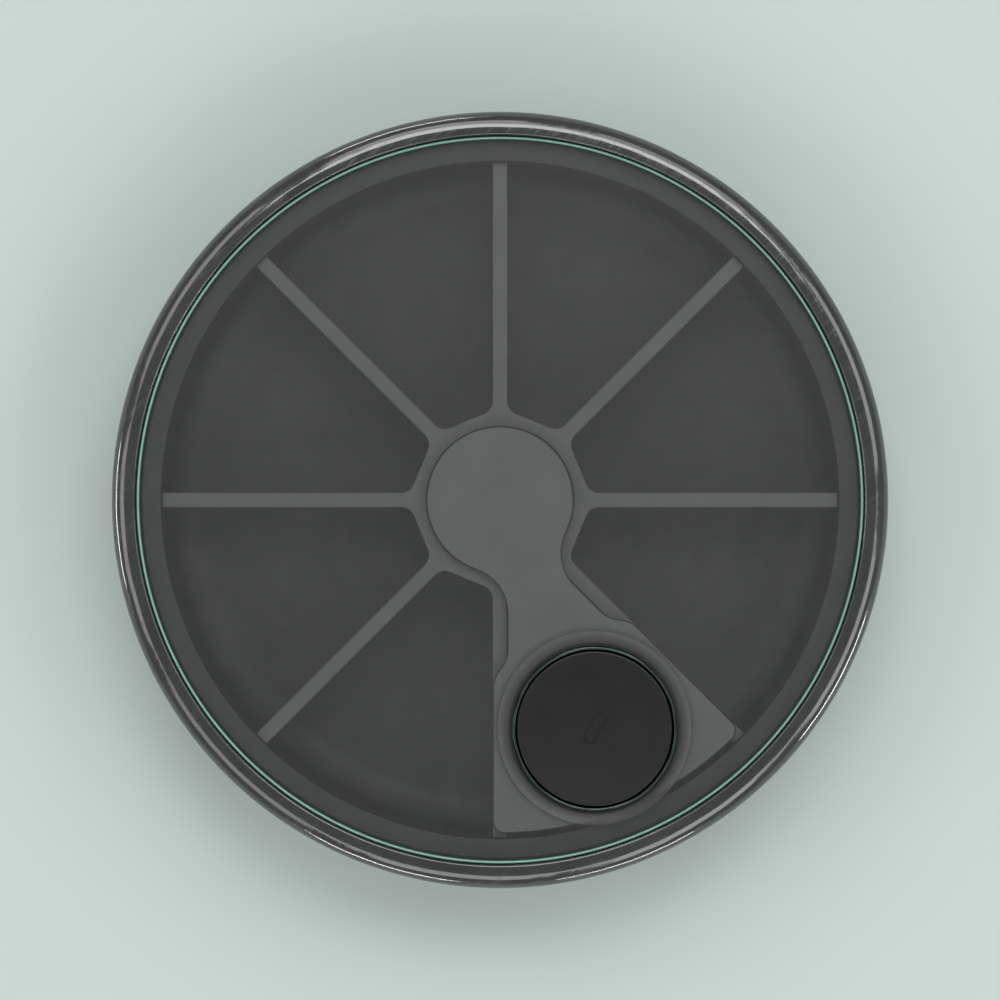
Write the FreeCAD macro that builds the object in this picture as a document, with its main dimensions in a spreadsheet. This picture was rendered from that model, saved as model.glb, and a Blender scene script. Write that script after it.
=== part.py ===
"""Round seven-day travel pill organizer with a turning lid.

The case is a cup with a polished rim. A dark tray in it holds a grey divider: walls round a hub
that part seven wells, and a closed eighth sector where the port is parked. The lid turns on a
spindle in the hub, clicks into eight stops and lifts off its hexagon drive. A sprung button caps
the port in the lid.

Origin: centre of the underside, +Z up, millimetres. Angles are counter-clockwise from +X.
"""

import FreeCAD, Part
import math
import os
from types import SimpleNamespace

import Sketcher

# name, value in millimetres (or degrees, or a count), what it is
DIMENSIONS = (
    ("case_diameter", 100, "over the polished rim"),
    ("case_height", 22, "from the table to the top of the rim"),
    ("pitch_angle", 45, "from one sector to the next"),
    ("sector_count", 8, "sectors round the hub, one of them closed"),
    ("well_count", 7, "open wells"),
    ("home_angle", -67.5, "middle of the closed sector, where the port is parked"),
    ("spoke_width", 1.9, "wall between two wells"),
    ("well_radius", 43.7, "outer wall of the wells"),
    ("well_corner", 1.8, "corner radius beside the hub"),
    ("well_floor", 3.8, "height of the wells' floor"),
    ("well_cove", 5, "radius between the floor and the outer wall"),
    ("spoke_top", 17, "height of the walls between the wells"),
    ("divider_edge", 0.2, "radius over the divider's upper edges"),
    ("tray_radius", 46.3, "outside of the tray"),
    ("tray_top", 18.2, "height of the tray's rim band"),
    ("tray_edge", 0.25, "chamfer of the rim band"),
    ("hub_flat", 11.1, "from the axis to a flat inner wall of a well"),
    ("hub_bore", 9.5, "radius of the hub's cavity"),
    ("hub_floor", 7, "top of the floor of the hub's cavity"),
    ("hub_floor_depth", 2, "thickness of that floor"),
    ("screw_well", 6, "radius of the pocket under the hub's floor"),
    ("deck_top", 15.4, "height of the closed sector's deck, sunk between its walls"),
    ("deck_depth", 1.6, "thickness of that deck"),
    ("core_wall", 1.6, "wall left round the hollow under the deck"),
    ("shell_radius", 49.4, "outside of the case's wall"),
    ("shell_bore", 46.5, "inside of the case's wall"),
    ("shell_round", 5, "radius round the case's lower edge"),
    ("shell_bottom", 0.6, "underside of the case"),
    ("shell_floor", 2.2, "top of the case's floor, where the tray stands"),
    ("shell_top", 17, "shoulder that the rim ring stands on"),
    ("spigot_radius", 48.3, "outside of the spigot in the rim ring"),
    ("spigot_top", 18.2, "top of the spigot"),
    ("rim_bore", 46.85, "inside of the rim ring"),
    ("rim_round", 2.2, "radius over the rim's outer edge"),
    ("rim_foot_round", 0.8, "radius under the rim's outer edge"),
    ("rim_edge", 0.3, "chamfer of the rim's inner edge"),
    ("grip_bore", 37, "inside of the rubber ring's groove"),
    ("grip_radius", 43, "outside of the rubber ring's groove"),
    ("grip_top", 1.2, "roof of the rubber ring's groove"),
    ("grip_rib", 0.75, "width of a rib or a groove under the rubber ring"),
    ("grip_rib_depth", 0.35, "depth of the grooves under the rubber ring"),
    ("journal_radius", 3, "spindle in its bush"),
    ("bush_radius", 4.45, "outside of the bush"),
    ("bush_flange", 6.5, "radius of the bush's flange"),
    ("bush_flange_depth", 0.8, "thickness of the bush's flange"),
    ("wheel_radius", 7.4, "notched wheel of the spindle"),
    ("wheel_bottom", 8, "underside of the notched wheel"),
    ("wheel_top", 11.5, "top of the notched wheel"),
    ("notch_radius", 1.3, "round notches in the wheel"),
    ("notch_circle", 8.2, "circle that the notches are centred on"),
    ("drive_width", 7, "hexagon drive across its flats"),
    ("drive_top", 16.4, "top of the hexagon drive"),
    ("spring_leaf", 0.4, "thickness of the click spring"),
    ("spring_radius", 9.2, "outside of the click spring"),
    ("spring_half_angle", 55, "half the angle that the click spring spans"),
    ("spring_rise", 3.6, "height of the click spring"),
    ("nose_half_angle", 10, "half the angle that the spring's nose spans"),
    ("nose_radius", 7.6, "from the axis to the tip of the spring's nose"),
    ("screw_radius", 1.5, "shank of the spindle's screw"),
    ("screw_head", 2.75, "radius of the screw's head"),
    ("screw_head_rise", 1.3, "height of the screw's head"),
    ("screw_tip", 10, "height of the screw's end"),
    ("screw_key", 2, "hexagon recess across its flats"),
    ("screw_key_depth", 0.8, "depth of that recess"),
    ("washer_radius", 5.2, "outside of the washer"),
    ("washer_depth", 1, "thickness of the washer"),
    ("lid_radius", 46.35, "outside of the lid's window"),
    ("lid_ledge", 46.65, "radius of the ledge that carries the edge seal"),
    ("lid_ledge_top", 19.3, "top of that ledge"),
    ("lid_bottom", 18.7, "underside of the lid's window"),
    ("lid_top", 21.3, "top of the lid's window"),
    ("lid_edge", 0.3, "radius round the lid's upper edge"),
    ("seal_radius", 46.75, "outside of the edge seal"),
    ("seal_top", 20.9, "top of the edge seal"),
    ("plate_bottom", 17.3, "underside of the keyhole plate"),
    ("plate_edge", 0.2, "chamfer round the keyhole plate"),
    ("panel_radius", 43, "outer edge of the plate's panel"),
    ("panel_corner", 1.6, "corners of the panel"),
    ("neck_round", 6, "hollow curve at the plate's neck"),
    ("flare_start", 19.3, "where the neck starts to widen over the spokes"),
    ("flare_length", 5, "length of that widening"),
    ("socket_flange", 8.6, "radius of the drive socket's flange"),
    ("socket_flange_depth", 0.8, "thickness of that flange"),
    ("socket_radius", 5.4, "outside of the drive socket"),
    ("socket_roof", 16.6, "roof of the drive socket's hexagon"),
    ("port_radius", 31.8, "from the lid's axis to the port's"),
    ("port_bore", 10.15, "inside of the port's liner"),
    ("liner_radius", 10.6, "outside of the port's liner"),
    ("liner_top", 21.6, "top of the liner's lip"),
    ("liner_flange", 12.5, "radius of the liner's flange"),
    ("liner_flange_depth", 0.6, "thickness of the liner's flange"),
    ("gasket_depth", 0.2, "thickness of the gasket under the flange"),
    ("dish_radius", 13.2, "outer edge of the finger dish round the port"),
    ("dish_depth", 0.55, "depth of the finger dish at the liner"),
    ("wiper_radius", 11.1, "outside of the wiper under the port"),
    ("cap_bottom", 17.1, "underside of the port's cap"),
    ("cap_floor", 17.9, "top of the cap's floor"),
    ("cap_shoulder", 19, "top of the cap's outer wall"),
    ("cap_guide", 8.7, "outside of the wall that guides the button"),
    ("cap_cavity", 8, "inside of that wall"),
    ("cap_guide_top", 19.8, "top of that wall and of the post"),
    ("post_radius", 3.2, "outside of the cap's post"),
    ("post_bore", 2.4, "inside of the cap's post"),
    ("post_lip", 19.2, "underside of the lip that stops the clip"),
    ("plug_seat", 17.4, "roof of the seat for the cap's plug"),
    ("plug_top", 17.7, "top of the cap's plug"),
    ("ring_section", 0.3, "radius of the O-ring's section"),
    ("ring_radius", 9.8, "mean radius of the O-ring"),
    ("ring_height", 18.25, "height of the O-ring's middle"),
    ("ring_groove_half", 0.35, "half the height of the O-ring's groove"),
    ("button_radius", 9.95, "outside of the button"),
    ("button_top", 21.6, "top of the button's rim"),
    ("button_plate", 20.8, "underside of the button's plate"),
    ("button_skirt", 19.9, "lower edge of the button's skirt"),
    ("button_skirt_bore", 9, "inside of the button's skirt"),
    ("button_edge", 0.15, "radius round the button and the cap"),
    ("button_land", 9.6, "outer edge of the button's dished top"),
    ("button_dish", 0.3, "depth of the button's dished top"),
    ("stem_radius", 1.4, "button's stem"),
    ("stem_end", 18.75, "lower end of the stem"),
    ("clip_groove", 1, "radius at the bottom of the stem's groove"),
    ("clip_bottom", 18.85, "underside of the clip"),
    ("clip_top", 19.15, "top of the clip"),
    ("clip_radius", 2.1, "outside of the clip"),
    ("mark_half_length", 1.3, "from the capsule mark's middle to the centre of its end"),
    ("mark_radius", 0.85, "end radius of the capsule mark"),
    ("mark_line", 0.22, "width of the capsule mark's line"),
    ("mark_depth", 0.12, "depth of the capsule mark"),
    ("mark_angle", 127.5, "tilt of the capsule mark from the line between the two axes"),
    ("coil_radius", 5.5, "mean radius of the button's spring"),
    ("coil_wire", 0.25, "radius of the button spring's wire"),
    ("coil_turns", 3, "turns of the button's spring"),
    ("loose", 0.05, "gap round pieces that are pressed or bonded together"),
    ("running", 0.1, "gap round pieces that slide or turn"),
)

SHEET_NAME = "Sizes"


class Size:
    """A number together with the sheet expression that it follows."""

    def __init__(self, value, text):
        self.value = value
        self.text = text

    def joined(self, other, sign, value, flip=False):
        first, second = (other, self) if flip else (self, other)
        return Size(value, f"({first.text} {sign} {second.text})")

    def __add__(self, other):
        other = as_size(other)
        return self.joined(other, "+", self.value + other.value)

    def __radd__(self, other):
        return as_size(other) + self

    def __sub__(self, other):
        other = as_size(other)
        return self.joined(other, "-", self.value - other.value)

    def __rsub__(self, other):
        return as_size(other) - self

    def __mul__(self, other):
        other = as_size(other)
        return self.joined(other, "*", self.value * other.value)

    def __rmul__(self, other):
        return as_size(other) * self

    def __truediv__(self, other):
        other = as_size(other)
        return self.joined(other, "/", self.value / other.value)

    def __neg__(self):
        return Size(-self.value, f"(-{self.text})")


def as_size(thing):
    return thing if isinstance(thing, Size) else Size(float(thing), repr(float(thing)))


def root(size):
    return Size(math.sqrt(size.value), f"sqrt({size.text})")


def sine(angle):
    return Size(math.sin(math.radians(angle.value)), f"sin({angle.text} * 1 deg)")


def cosine(angle):
    return Size(math.cos(math.radians(angle.value)), f"cos({angle.text} * 1 deg)")


def tangent(angle):
    return Size(math.tan(math.radians(angle.value)), f"tan({angle.text} * 1 deg)")


def make_sheet(doc):
    """Fills the sheet and returns its cells as Sizes."""
    sheet = doc.addObject("Spreadsheet::Sheet", SHEET_NAME)
    cells = {}
    for row, (alias, value, note) in enumerate(DIMENSIONS, start=1):
        sheet.set(f"A{row}", alias)
        sheet.set(f"B{row}", str(value))
        sheet.set(f"C{row}", note)
        sheet.setAlias(f"B{row}", alias)
        cells[alias] = Size(float(value), f"{SHEET_NAME}.{alias}")
    doc.recompute()
    return SimpleNamespace(**cells)


def bind(thing, prop, size):
    """Sets a property to a Size's number and ties it to the sheet."""
    thing.setExpression(prop, as_size(size).text)


def new_body(name):
    body = doc.addObject("PartDesign::Body", name)
    body.Label = name
    return body


def add_sketch(body, name, role="XY_Plane", height=None):
    """A sketch on one of the body's own origin planes, raised to a height if one is given."""
    plane = next(item for item in body.Origin.OriginFeatures if item.Role == role)
    sketch = body.newObject("Sketcher::SketchObject", name)
    sketch.AttachmentSupport = [(plane, "")]
    sketch.MapMode = "FlatFace"
    if height is not None:
        bind(sketch, ".AttachmentOffset.Base.z", height)
    return sketch


def turn_sketch_back(sketch, angle):
    """Turns a sketch clockwise about its origin."""
    clockwise = FreeCAD.Rotation(FreeCAD.Vector(0, 0, -1), angle.value)
    sketch.AttachmentOffset = FreeCAD.Placement(sketch.AttachmentOffset.Base, clockwise)
    bind(sketch, ".AttachmentOffset.Rotation.Angle", angle)


def pin(sketch, element, end, x, y):
    """Ties one end of an element to its coordinates."""
    vertical, horizontal = -2, -1
    for kind, axis, place in (("DistanceX", vertical, x), ("DistanceY", horizontal, y)):
        if place.value == 0:
            sketch.addConstraint(Sketcher.Constraint("PointOnObject", element, end, axis))
        else:
            number = sketch.addConstraint(Sketcher.Constraint(kind, element, end, place.value))
            bind(sketch, f"Constraints[{number}]", place)


def arc_between(start, finish, radius, turn):
    """The shorter arc from start to finish, turning left (1) or right (-1)."""
    chord = finish - start
    middle = (start + finish) * 0.5
    rise = math.sqrt(max(radius**2 - (chord.Length / 2) ** 2, 0))
    side = FreeCAD.Vector(-chord.y, chord.x, 0).normalize() * rise * turn
    centre = middle + side
    first, last = (start, finish) if turn > 0 else (finish, start)
    angles = [math.atan2(p.y - centre.y, p.x - centre.x) for p in (first, last)]
    circle = Part.Circle(centre, FreeCAD.Vector(0, 0, 1), radius)
    return Part.ArcOfCircle(circle, *angles)


def draw_outline(sketch, corners):
    """Draws a closed outline. A corner is (x, y), reached by a straight run, or
    (x, y, radius, turn), reached by an arc that turns left (1) or right (-1)."""
    corners = [tuple(as_size(part) for part in corner) for corner in corners]
    points = [FreeCAD.Vector(corner[0].value, corner[1].value, 0) for corner in corners]
    ends = []
    for number, corner in enumerate(corners):
        start, finish = points[number - 1], points[number]
        if len(corner) == 2:
            element = sketch.addGeometry(Part.LineSegment(start, finish))
            ends.append((element, 1, 2))
            continue
        radius, turn = corner[2], corner[3].value
        element = sketch.addGeometry(arc_between(start, finish, radius.value, turn))
        bend = sketch.addConstraint(Sketcher.Constraint("Radius", element, radius.value))
        bind(sketch, f"Constraints[{bend}]", radius)
        ends.append((element, 1, 2) if turn > 0 else (element, 2, 1))
    for number, corner in enumerate(corners):
        element, _, finish = ends[number]
        following, start, _ = ends[(number + 1) % len(ends)]
        joint = Sketcher.Constraint("Coincident", element, finish, following, start)
        sketch.addConstraint(joint)
        pin(sketch, element, finish, corner[0], corner[1])


def draw_circle(sketch, x, y, radius):
    x, y, radius = as_size(x), as_size(y), as_size(radius)
    centre = FreeCAD.Vector(x.value, y.value, 0)
    circle = Part.Circle(centre, FreeCAD.Vector(0, 0, 1), radius.value)
    element = sketch.addGeometry(circle)
    number = sketch.addConstraint(Sketcher.Constraint("Radius", element, radius.value))
    bind(sketch, f"Constraints[{number}]", radius)
    centre_point = 3
    pin(sketch, element, centre_point, x, y)


def draw_hexagon(sketch, width):
    """A hexagon round the origin, with this width across its flats."""
    corner = width / root(as_size(3))
    half = corner / 2
    flat = width / 2
    draw_outline(
        sketch,
        [(corner, 0), (half, flat), (-half, flat), (-corner, 0), (-half, -flat), (half, -flat)],
    )


def turn(body, name, corners, kind="PartDesign::Revolution"):
    """Turns an outline of (radius, height) corners about the body's Z axis."""
    sketch = add_sketch(body, f"{name}_profile", "XZ_Plane")
    draw_outline(sketch, corners)
    feature = body.newObject(kind, name)
    feature.Profile = sketch
    feature.ReferenceAxis = (sketch, ["V_Axis"])
    feature.Angle = 360
    return feature


def turned(name, corners):
    """A whole sub-part turned from one outline."""
    body = new_body(name)
    turn(body, f"{name}_turn", corners)
    return body


def pad(body, name, sketch, length):
    feature = body.newObject("PartDesign::Pad", name)
    feature.Profile = sketch
    bind(feature, "Length", length)
    return feature


def pocket(body, name, sketch, length, upward=False):
    """Cuts a sketch downward from its own height, or upward."""
    feature = body.newObject("PartDesign::Pocket", name)
    feature.Profile = sketch
    feature.Reversed = upward
    bind(feature, "Length", length)
    return feature


def repeat_round(body, name, feature, angle, count):
    """Repeats a cut about the body's Z axis, over this angle in all."""
    pattern = body.newObject("PartDesign::PolarPattern", name)
    pattern.Originals = [feature]
    pattern.Axis = (feature.Profile[0], ["N_Axis"])
    bind(pattern, "Angle", angle)
    bind(pattern, "Occurrences", count)
    body.Tip = pattern
    return pattern


def dress(body, kind, name, size, choose):
    """Fillets or chamfers the body's edges that choose returns True for."""
    doc.recompute()
    base = body.Tip
    names = [
        f"Edge{number}"
        for number, edge in enumerate(base.Shape.Edges, start=1)
        if choose(edge)
    ]
    feature = body.newObject(kind, name)
    feature.Base = (base, names)
    bind(feature, "Radius" if kind.endswith("Fillet") else "Size", size)
    return feature


def lies_at(edge, height):
    box = edge.BoundBox
    return max(abs(box.ZMin - height.value), abs(box.ZMax - height.value)) < 1e-4


def reach(edge):
    """Least distance of an edge from the body's Z axis."""
    return min(math.hypot(point.x, point.y) for point in edge.discretize(9))


def place(body, angle=None, distance=None):
    """Turns a body about the case's axis, after moving it out along its own X."""
    if angle is None:
        body.Placement = FreeCAD.Placement()
        return body
    rotation = FreeCAD.Rotation(FreeCAD.Vector(0, 0, 1), angle.value)
    body.Placement = FreeCAD.Placement(FreeCAD.Vector(), rotation)
    bind(body, ".Placement.Rotation.Angle", angle)
    if distance is not None:
        bind(body, ".Placement.Base.x", distance * cosine(angle))
        bind(body, ".Placement.Base.y", distance * sine(angle))
    return body


def on_spoke(distance, offset):
    """A point this far out along the spoke beside a sector, and this far outside its middle
    line, in the sector's own frame, whose X runs along the sector's middle."""
    half = size.pitch_angle / 2
    x = distance * cosine(half) - offset * sine(half)
    y = distance * sine(half) + offset * cosine(half)
    return x, y


def mirrored(corners):
    """Adds the mirror image below the X axis of corners that run from low to high angles.
    Arcs belong to the corner that they arrive at, so they move one corner along."""
    shapes = [corner[2:] for corner in corners[1:]] + [()]
    image = [(corner[0], -corner[1]) + shape for corner, shape in zip(corners, shapes)]
    return corners + image[::-1]


# ---- the case -------------------------------------------------------------------------------


def make_base_shell():
    foot = size.shell_radius - size.shell_round
    return turned(
        "base_shell",
        [
            (0, size.shell_bottom),
            (size.grip_bore, size.shell_bottom),
            (size.grip_bore, size.grip_top),
            (size.grip_radius, size.grip_top),
            (size.grip_radius, size.shell_bottom),
            (foot, size.shell_bottom),
            (size.shell_radius, size.shell_bottom + size.shell_round, size.shell_round, 1),
            (size.shell_radius, size.shell_top),
            (size.spigot_radius, size.shell_top),
            (size.spigot_radius, size.spigot_top),
            (size.shell_bore, size.spigot_top),
            (size.shell_bore, size.shell_floor),
            (0, size.shell_floor),
        ],
    )


def make_rim_ring():
    outer = size.case_diameter / 2
    socket = size.spigot_radius + size.loose
    socket_roof = size.spigot_top + size.loose
    return turned(
        "rim_ring",
        [
            (socket, size.shell_top),
            (outer - size.rim_foot_round, size.shell_top),
            (outer, size.shell_top + size.rim_foot_round, size.rim_foot_round, 1),
            (outer, size.case_height - size.rim_round),
            (outer - size.rim_round, size.case_height, size.rim_round, 1),
            (size.rim_bore + size.rim_edge, size.case_height),
            (size.rim_bore, size.case_height - size.rim_edge),
            (size.rim_bore, socket_roof),
            (socket, socket_roof),
        ],
    )


def make_grip_ring():
    """Rubber ring with concentric ribs underneath, from its bore outwards."""
    bore = size.grip_bore + size.loose
    outer = size.grip_radius - size.loose
    corners = [(bore, 0)]
    groove_count = 3
    for groove in range(groove_count):
        start = bore + size.grip_rib * (2 * groove + 1)
        corners += [
            (start, 0),
            (start, size.grip_rib_depth),
            (start + size.grip_rib, size.grip_rib_depth),
            (start + size.grip_rib, 0),
        ]
    corners += [(outer, 0), (outer, size.grip_top), (bore, size.grip_top)]
    return turned("grip_ring", corners)


# ---- the tray, the divider and its hub ------------------------------------------------------


def well_corners(radius, wall, hub_flat, corner):
    """Outline of a well: flat beside the hub, sides parallel to the spokes, round outside.
    The X axis runs along the well's middle, and wall is half the spoke's width."""
    half = size.pitch_angle / 2
    run = corner * tangent((90 - half) / 2)
    side = (hub_flat * sine(half) - wall) / cosine(half)
    upper = [
        (hub_flat, side - run),
        (hub_flat + run * cosine(half), side + run * sine(half), corner, -1),
        on_spoke(root(radius * radius - wall * wall), -wall),
    ]
    outline = mirrored(upper)
    outline[len(upper)] += (radius, -1)
    return outline


def make_tray():
    """Dark cup whose floor rolls up into its outer wall. Its hole clears the spindle's screw."""
    screw_hole = size.screw_well + size.running
    cove_start = size.well_radius - size.well_cove
    cove_end = size.well_floor + size.well_cove
    return turned(
        "tray",
        [
            (screw_hole, size.shell_floor),
            (size.tray_radius, size.shell_floor),
            (size.tray_radius, size.tray_top - size.tray_edge),
            (size.tray_radius - size.tray_edge, size.tray_top),
            (size.well_radius + size.tray_edge, size.tray_top),
            (size.well_radius, size.tray_top - size.tray_edge),
            (size.well_radius, cove_end),
            (cove_start, size.well_floor, size.well_cove, -1),
            (screw_hole, size.well_floor),
        ],
    )


def make_divider():
    """Grey star that stands in the tray: hub, walls between the wells, and the closed sector.
    It is turned as a full disc, and the wells are then cut right through it."""
    body = new_body("divider")
    under_hub = size.hub_floor - size.hub_floor_depth
    bush_hole = size.bush_radius + size.loose
    outer = size.well_radius - size.running
    turn(
        body,
        "divider_blank",
        [
            (bush_hole, under_hub),
            (size.screw_well, under_hub),
            (size.screw_well, size.well_floor),
            (outer - size.well_cove, size.well_floor),
            (outer, size.well_floor + size.well_cove, size.well_cove, 1),
            (outer, size.spoke_top),
            (size.hub_bore, size.spoke_top),
            (size.hub_bore, size.hub_floor),
            (bush_hole, size.hub_floor),
        ],
    )
    outline = add_sketch(body, "well_outline", height=size.spoke_top)
    wall = size.spoke_width / 2
    draw_outline(outline, well_corners(size.well_radius, wall, size.hub_flat, size.well_corner))
    well = pocket(body, "well", outline, size.spoke_top - size.well_floor)
    sweep = size.pitch_angle * (size.well_count - 1)
    repeat_round(body, "wells", well, sweep, size.well_count)
    recess = add_sketch(body, "deck_recess_outline", height=size.spoke_top)
    turn_sketch_back(recess, size.pitch_angle)
    draw_outline(recess, well_corners(size.well_radius, wall, size.hub_flat, size.well_corner))
    pocket(body, "deck_recess", recess, size.spoke_top - size.deck_top)
    core = add_sketch(body, "deck_core_outline", height=size.well_floor)
    turn_sketch_back(core, size.pitch_angle)
    core_corners = well_corners(
        size.well_radius - size.well_cove,
        wall + size.core_wall,
        size.hub_flat + size.core_wall,
        size.well_corner,
    )
    draw_outline(core, core_corners)
    pocket(body, "deck_core", core, size.deck_top - size.deck_depth - size.well_floor, upward=True)
    dress(
        body, "PartDesign::Fillet", "divider_upper_edge", size.divider_edge,
        lambda edge: lies_at(edge, size.spoke_top) and reach(edge) < outer.value - size.running.value,
    )
    return place(body, size.home_angle + size.pitch_angle)


def make_hub_bush():
    bore = size.journal_radius + size.loose
    bottom = size.hub_floor - size.hub_floor_depth
    top = size.hub_floor + size.bush_flange_depth
    return turned(
        "hub_bush",
        [
            (bore, bottom),
            (size.bush_radius, bottom),
            (size.bush_radius, size.hub_floor),
            (size.bush_flange, size.hub_floor),
            (size.bush_flange, top),
            (bore, top),
        ],
    )


def make_click_spring():
    """Spring leaf that stands on the hub's floor, its nose pointing at the notched wheel.
    The nose clears the wheel, because the leaf's bending isn't part of the joints."""
    body = new_body("click_spring")
    inner = size.spring_radius - size.spring_leaf
    end, nose = size.spring_half_angle, size.nose_half_angle
    nose_y = inner * sine(nose)
    nose_rise = inner * cosine(nose) - size.nose_radius
    nose_round = (nose_y * nose_y + nose_rise * nose_rise) / (2 * nose_rise)
    outer_x, outer_y = size.spring_radius * cosine(end), size.spring_radius * sine(end)
    end_x, end_y = inner * cosine(end), inner * sine(end)
    nose_x = inner * cosine(nose)
    outline = add_sketch(body, "click_spring_outline", height=size.hub_floor)
    draw_outline(
        outline,
        [
            (outer_x, -outer_y),
            (outer_x, outer_y, size.spring_radius, 1),
            (end_x, end_y),
            (nose_x, nose_y, inner, -1),
            (nose_x, -nose_y, nose_round, 1),
            (end_x, -end_y, inner, -1),
        ],
    )
    pad(body, "click_spring_leaf", outline, size.spring_rise)
    return place(body)


# ---- the spindle ----------------------------------------------------------------------------


def make_spindle():
    body = new_body("spindle")
    journal_end = size.hub_floor - size.hub_floor_depth - size.running
    hole = size.screw_radius + size.loose
    hole_end = size.screw_tip + size.screw_head_rise / 2
    turn(
        body,
        "spindle_turn",
        [
            (hole, journal_end),
            (size.journal_radius, journal_end),
            (size.journal_radius, size.wheel_bottom),
            (size.wheel_radius, size.wheel_bottom),
            (size.wheel_radius, size.wheel_top),
            (0, size.wheel_top),
            (0, hole_end),
            (hole, hole_end),
        ],
    )
    notch_outline = add_sketch(body, "notch_outline", height=size.wheel_top)
    draw_circle(notch_outline, size.notch_circle, 0, size.notch_radius)
    notch = pocket(body, "notch", notch_outline, size.wheel_top - size.wheel_bottom)
    repeat_round(body, "notches", notch, as_size(360), size.sector_count)
    drive_outline = add_sketch(body, "drive_outline", height=size.wheel_top)
    draw_hexagon(drive_outline, size.drive_width)
    pad(body, "drive", drive_outline, size.drive_top - size.wheel_top)
    return place(body)


def make_spindle_washer():
    top = size.hub_floor - size.hub_floor_depth - size.running
    bottom = top - size.washer_depth
    bore = size.screw_radius + size.loose
    return turned(
        "spindle_washer",
        [(bore, bottom), (size.washer_radius, bottom), (size.washer_radius, top), (bore, top)],
    )


def make_spindle_screw():
    body = new_body("spindle_screw")
    head_top = size.hub_floor - size.hub_floor_depth - size.running - size.washer_depth
    head_bottom = head_top - size.screw_head_rise
    head_round = size.screw_head_rise / 2
    turn(
        body,
        "screw_turn",
        [
            (0, head_bottom),
            (size.screw_head - head_round, head_bottom),
            (size.screw_head, head_bottom + head_round, head_round, 1),
            (size.screw_head, head_top),
            (size.screw_radius, head_top),
            (size.screw_radius, size.screw_tip),
            (0, size.screw_tip),
        ],
    )
    key_outline = add_sketch(body, "screw_key_outline", height=head_bottom)
    draw_hexagon(key_outline, size.screw_key)
    pocket(body, "screw_key", key_outline, size.screw_key_depth, upward=True)
    return place(body)


# ---- the lid --------------------------------------------------------------------------------


def make_lid_window():
    """Frosted disc, drawn about the port's axis so that the port and its dish are turned."""
    body = new_body("lid_window")
    ledge = add_sketch(body, "lid_ledge_outline", height=size.lid_bottom)
    draw_circle(ledge, -size.port_radius, 0, size.lid_ledge)
    pad(body, "lid_ledge", ledge, size.lid_ledge_top - size.lid_bottom)
    disc = add_sketch(body, "lid_disc_outline", height=size.lid_ledge_top)
    draw_circle(disc, -size.port_radius, 0, size.lid_radius)
    pad(body, "lid_disc", disc, size.lid_top - size.lid_ledge_top)
    dress(
        body, "PartDesign::Fillet", "lid_upper_edge", size.lid_edge,
        lambda edge: lies_at(edge, size.lid_top),
    )
    hole = size.liner_radius + size.loose
    recess = size.liner_flange + size.loose
    recess_roof = size.lid_bottom + size.gasket_depth + size.liner_flange_depth
    dish_bottom = size.lid_top - size.dish_depth
    dish_width = size.dish_radius - hole
    dish_round = (dish_width * dish_width + size.dish_depth * size.dish_depth) / (
        2 * size.dish_depth
    )
    past = 1
    below, above = size.lid_bottom - past, size.lid_top + past
    turn(
        body,
        "port_opening",
        [
            (0, below),
            (recess, below),
            (recess, recess_roof),
            (hole, recess_roof),
            (hole, dish_bottom),
            (size.dish_radius, size.lid_top, dish_round, -1),
            (size.dish_radius, above),
            (0, above),
        ],
        "PartDesign::Groove",
    )
    return place(body, size.home_angle, size.port_radius)


def keyhole_corners():
    """Outline of the plate, its panel along +X. The head is a circle. Each side of the neck
    leaves it along a tangent parallel to a flat of the hub, bends round to the spoke's near
    edge, then crosses the spoke's top to its far edge in an S and follows that to the rim."""
    half = size.pitch_angle / 2
    wall = size.spoke_width / 2
    head = size.hub_bore
    start = head * cosine(size.pitch_angle)
    # centre of the neck's curve: on lines parallel to the tangent and to the spoke
    bend = size.neck_round
    tangent_sum = (head + bend) / cosine(size.pitch_angle)
    spoke_rise = (bend - wall) / cosine(half)
    centre_x = (tangent_sum - spoke_rise) / (1 + tangent(half))
    centre_y = tangent_sum - centre_x
    leave = bend * cosine(size.pitch_angle)
    near_edge = (centre_x + bend * sine(half), centre_y - bend * cosine(half))
    flare = size.flare_length
    flare_round = (flare * flare + size.spoke_width * size.spoke_width) / (4 * size.spoke_width)
    corner = size.panel_corner
    inset = wall - corner
    corner_circle = size.panel_radius - corner
    corner_reach = root(corner_circle * corner_circle - inset * inset)
    corner_x, corner_y = on_spoke(corner_reach, inset)
    stretch = size.panel_radius / corner_circle
    side = [
        (start, start),
        (centre_x - leave, centre_y - leave),
        near_edge + (bend, 1),
        on_spoke(size.flare_start, -wall),
        on_spoke(size.flare_start + flare / 2, 0) + (flare_round, 1),
        on_spoke(size.flare_start + flare, wall) + (flare_round, -1),
        on_spoke(corner_reach, wall),
        (corner_x * stretch, corner_y * stretch, corner, -1),
    ]
    outline = mirrored(side)
    outline[0] += (head, -1)
    outline[len(side)] += (size.panel_radius, -1)
    back_of_head = (-head, 0, head, -1)
    return outline + [back_of_head]


def make_rotor_plate():
    body = new_body("rotor_plate")
    outline = add_sketch(body, "plate_outline", height=size.plate_bottom)
    draw_outline(outline, keyhole_corners())
    pad(body, "plate", outline, size.lid_bottom - size.plate_bottom)
    dress(
        body, "PartDesign::Chamfer", "plate_upper_edge", size.plate_edge,
        lambda edge: lies_at(edge, size.lid_bottom),
    )
    port = add_sketch(body, "plate_port_outline", height=size.lid_bottom)
    draw_circle(port, size.port_radius, 0, size.liner_radius + size.loose)
    pocket(body, "plate_port", port, size.lid_bottom - size.plate_bottom)
    return place(body, size.home_angle)


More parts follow.
